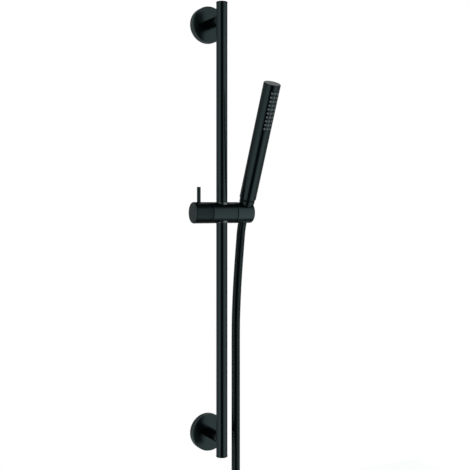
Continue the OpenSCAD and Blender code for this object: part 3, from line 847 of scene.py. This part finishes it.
class SLIDERAIL_OT_hose(bpy.types.Operator):
    """Makes the hose along its whole length, from the cone nut down into its tied hank"""

    bl_idname = "sliderail.hose"
    bl_label = "Hose"

    def execute(self, context):
        settings = context.scene.sliderail_hose
        route = hose_route()
        hose = swept_tube("hose", route, settings.diameter / 2, HOSE_SIDES)
        wear(hose, hose_skin(context.scene.sliderail_finish))
        rubber = bpy.data.materials["rubber_and_seam_shade"]
        for name, z in TIES.items():
            tie = strap(name, z, settings.strap_width / MM, settings.strap_thickness / MM)
            wear(tie, rubber)
            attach(tie, "slider")
            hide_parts("hose_ties")
        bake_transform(hose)
        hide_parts("hose_upper", "hose_drop", "hose_hank", "hose_tail")
        return {"FINISHED"}


def mix_colours(tree, blend_type, first, second):
    """One colour blended in full with another."""
    mix = add(tree, "ShaderNodeMix", data_type="RGBA", blend_type=blend_type, Factor=1)
    tree.links.new(first, mix.inputs[MIX_FIRST])
    tree.links.new(second, mix.inputs[MIX_SECOND])
    return mix.outputs[MIX_RESULT]


def mix_shaders(tree, share, first, second):
    """The first shader where the share is 0, and the second where it is 1."""
    mix = add(tree, "ShaderNodeMixShader")
    for source, socket in zip((share, first, second), mix.inputs):
        tree.links.new(source, socket)
    return mix.outputs["Shader"]


def studio_ramp(tree, value, stops, tint=(1, 1, 1)):
    """A smooth strength over a value, through stops of position and strength."""
    ramp = add(tree, "ShaderNodeValToRGB")
    ramp.color_ramp.interpolation = "EASE"
    elements = ramp.color_ramp.elements
    while len(elements) < len(stops):
        elements.new(0.5)
    for element, (position, strength) in zip(elements, stops):
        element.position = position
        element.color = (*(strength * part for part in tint), 1)
    tree.links.new(value, ramp.inputs["Fac"])
    return ramp.outputs["Color"]


def studio_walls(tree, direction):
    """The soft walls' light, by how far round the rail and how high a direction points."""
    parts = add(tree, "ShaderNodeSeparateXYZ")
    tree.links.new(direction, parts.inputs["Vector"])
    forward = add(tree, "ShaderNodeMath", operation="MULTIPLY")
    forward.inputs[1].default_value = -1
    tree.links.new(parts.outputs["Y"], forward.inputs[0])
    turn = add(tree, "ShaderNodeMath", operation="ARCTAN2")
    tree.links.new(parts.outputs["X"], turn.inputs[0])
    tree.links.new(forward.outputs[0], turn.inputs[1])
    around = remap(tree, turn.outputs[0], 0, 1, -math.pi, math.pi)
    height = remap(tree, parts.outputs["Z"], 0, 1, -1, 1)
    walls = [((degrees + 180) / 360, level) for degrees, level in WALLS]
    heights = [((z + 1) / 2, level) for z, level in HEIGHTS]
    return mix_colours(
        tree, "MULTIPLY",
        studio_ramp(tree, around, walls, WALL_TINT), studio_ramp(tree, height, heights),
    )


def overhead_light(tree, direction):
    """The overhead light, full near its middle and gone at its edge."""
    toward = add(tree, "ShaderNodeVectorMath", operation="DOT_PRODUCT")
    tree.links.new(direction, toward.inputs[0])
    toward.inputs[1].default_value = Vector(OVERHEAD).normalized()
    edge = math.cos(math.radians(OVERHEAD_EDGE))
    full = math.cos(math.radians(OVERHEAD_FULL))
    return remap(tree, toward.outputs["Value"], 0, OVERHEAD_LEVEL, edge, full)


def studio_world(settings):
    """White behind the object, and soft studio walls in reflections and on matt surfaces."""
    world = bpy.data.worlds.new("studio")
    world.use_nodes = True
    tree = world.node_tree
    tree.nodes.clear()
    direction = add(tree, "ShaderNodeTexCoord").outputs["Generated"]
    walls = studio_walls(tree, direction)
    light = mix_colours(tree, "ADD", walls, overhead_light(tree, direction))
    gloss = add(tree, "ShaderNodeBackground", Strength=settings.gloss_light)
    soft = add(tree, "ShaderNodeBackground", Strength=settings.soft_light)
    white = add(tree, "ShaderNodeBackground", Strength=1.0, Color=(1, 1, 1, 1))
    tree.links.new(light, gloss.inputs["Color"])
    tree.links.new(light, soft.inputs["Color"])
    rays = add(tree, "ShaderNodeLightPath").outputs
    lit = mix_shaders(tree, rays["Is Glossy Ray"], soft.outputs[0], gloss.outputs[0])
    seen = mix_shaders(tree, rays["Is Camera Ray"], lit, white.outputs[0])
    output = add(tree, "ShaderNodeOutputWorld")
    tree.links.new(seen, output.inputs["Surface"])
    return world


def floor_paint():
    """Matt white floor that shows as plain white, keeps a soft shadow and isn't reflected."""
    finish, tree, shader, _ = new_finish("white_floor")
    shader.inputs["Base Color"].default_value = FLOOR_COLOUR
    shader.inputs["Roughness"].default_value = FLOOR_ROUGHNESS
    glow = add(tree, "ShaderNodeEmission", Strength=FLOOR_GLOW)
    clear = add(tree, "ShaderNodeBsdfTransparent")
    rays = add(tree, "ShaderNodeLightPath").outputs
    share = add(tree, "ShaderNodeMath", operation="MULTIPLY")
    share.inputs[1].default_value = FLOOR_GLOW_SHARE
    tree.links.new(rays["Is Camera Ray"], share.inputs[0])
    painted = mix_shaders(tree, share.outputs[0], shader.outputs[0], glow.outputs[0])
    whole = mix_shaders(tree, rays["Is Glossy Ray"], painted, clear.outputs[0])
    tree.links.new(whole, tree.nodes["Material Output"].inputs["Surface"])
    return finish


class SLIDERAIL_OT_studio(bpy.types.Operator):
    """Makes the studio: the floor, the soft light and the camera"""

    bl_idname = "sliderail.studio"
    bl_label = "Studio"

    def execute(self, context):
        settings = context.scene.sliderail_studio
        scene = context.scene
        scene.view_settings.view_transform = "Standard"
        scene.world = studio_world(settings)
        bpy.ops.mesh.primitive_plane_add(size=FLOOR_WIDTH, location=(0, 0, FLOOR_HEIGHT))
        floor = context.object
        floor.name = "floor"
        wear(floor, floor_paint())
        camera_data = bpy.data.cameras.new("camera")
        camera_data.lens = settings.lens
        camera_data.sensor_width = SENSOR_WIDTH
        camera_data.shift_y = settings.shift
        camera = bpy.data.objects.new("camera", camera_data)
        camera.location = settings.place
        camera.rotation_euler = (math.pi / 2, 0, -settings.turn)
        scene.collection.objects.link(camera)
        scene.camera = camera
        return {"FINISHED"}


class SLIDERAIL_PT_panel(bpy.types.Panel):
    """Lists the steps that dress the slide rail, and their settings"""

    bl_idname = "SLIDERAIL_PT_panel"
    bl_label = "Slide Rail"
    bl_space_type = "VIEW_3D"
    bl_region_type = "UI"
    bl_category = "Slide Rail"

    def draw(self, context):
        for operator in OPERATORS:
            self.layout.operator(operator.bl_idname)
        for settings_name, group in GROUPS.items():
            box = self.layout.box()
            for name in group.__annotations__:
                box.prop(getattr(context.scene, settings_name), name)


GROUPS = {
    "sliderail_finish": FinishSettings,
    "sliderail_nozzles": NozzleSettings,
    "sliderail_hose": HoseSettings,
    "sliderail_studio": StudioSettings,
}
OPERATORS = (
    SLIDERAIL_OT_coat,
    SLIDERAIL_OT_inner_finishes,
    SLIDERAIL_OT_nozzles,
    SLIDERAIL_OT_hose,
    SLIDERAIL_OT_studio,
)
CLASSES = (*GROUPS.values(), *OPERATORS, SLIDERAIL_PT_panel)


def register():
    """Registers the add-on's classes and puts their settings on the scene."""
    for cls in CLASSES:
        bpy.utils.register_class(cls)
    for name, group in GROUPS.items():
        setattr(bpy.types.Scene, name, bpy.props.PointerProperty(type=group))


def unregister():
    """Takes the settings off the scene and unregisters the classes."""
    for name in GROUPS:
        delattr(bpy.types.Scene, name)
    for cls in reversed(CLASSES):
        bpy.utils.unregister_class(cls)


def main():
    """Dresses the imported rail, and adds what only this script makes."""
    register()
    bpy.ops.sliderail.coat()
    bpy.ops.sliderail.inner_finishes()
    bpy.ops.sliderail.nozzles()
    bpy.ops.sliderail.hose()
    bpy.ops.sliderail.studio()


if __name__ == "__main__":
    main()
